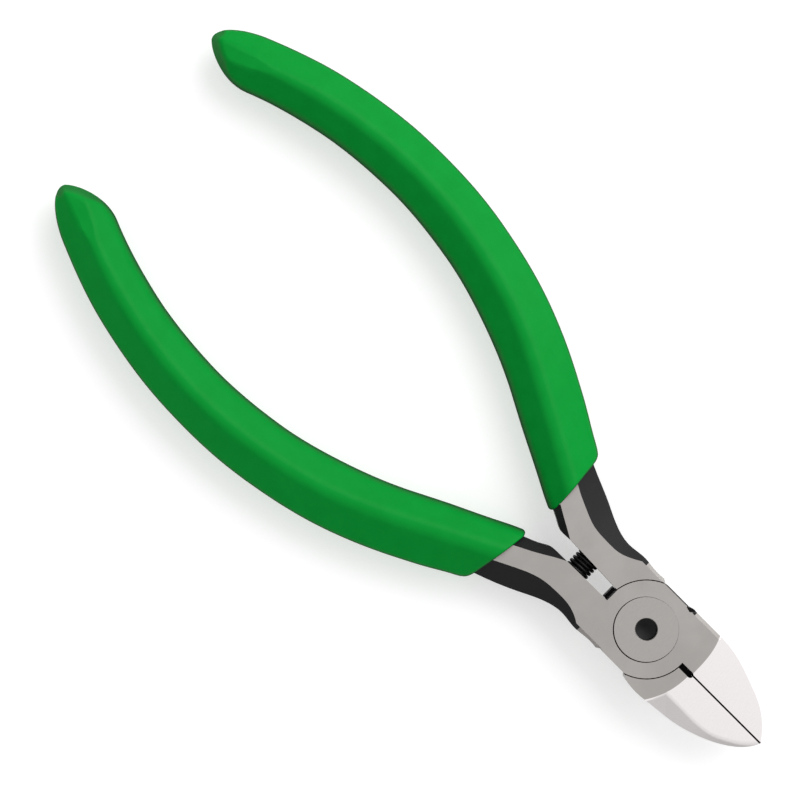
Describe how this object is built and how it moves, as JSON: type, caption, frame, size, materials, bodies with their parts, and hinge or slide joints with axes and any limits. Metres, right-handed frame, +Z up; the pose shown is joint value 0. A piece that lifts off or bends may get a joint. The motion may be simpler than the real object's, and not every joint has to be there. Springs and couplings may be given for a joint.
{
  "type": "flush cut pliers",
  "caption": "Small flush cut pliers: two forged halves on a large flush rivet, tapered ground blades, a coil return spring between the arms and dipped green vinyl grips.",
  "frame": {"origin": "under the middle of the tool's outline, on the surface it lies on", "axes": "+Y along the tool to the jaw tips, +X to the right-hand grip seen from above, +Z up through the flush face, along the pivot"},
  "size_m": [0.0536, 0.1264, 0.0096],
  "materials": {
    "lever_steel": "satin ground faces, bright ground blades, black oxide flanks",
    "rivet_steel": "satin ground flush, black dimple",
    "spring_steel": "black oxide music wire",
    "dipped_vinyl": "semi-gloss green dipped vinyl"
  },
  "bodies": {
    "lower_half": {"lower_lever": "lever_steel", "left_grip": "dipped_vinyl", "pivot_rivet": "rivet_steel", "return_spring": "spring_steel"},
    "upper_half": {"upper_lever": "lever_steel", "right_grip": "dipped_vinyl"}
  },
  "joints": [
    {"name": "pivot_hinge", "type": "hinge", "parent": "lower_half", "child": "upper_half", "pos_m": [0.00059, 0.04022, 0.0048], "axis": [0, 0, 1], "range_deg": [0, 30], "stiffness_Nm_per_rad": 0.3, "springref_deg": 30.02, "deforming": ["return_spring"]}
  ]
}
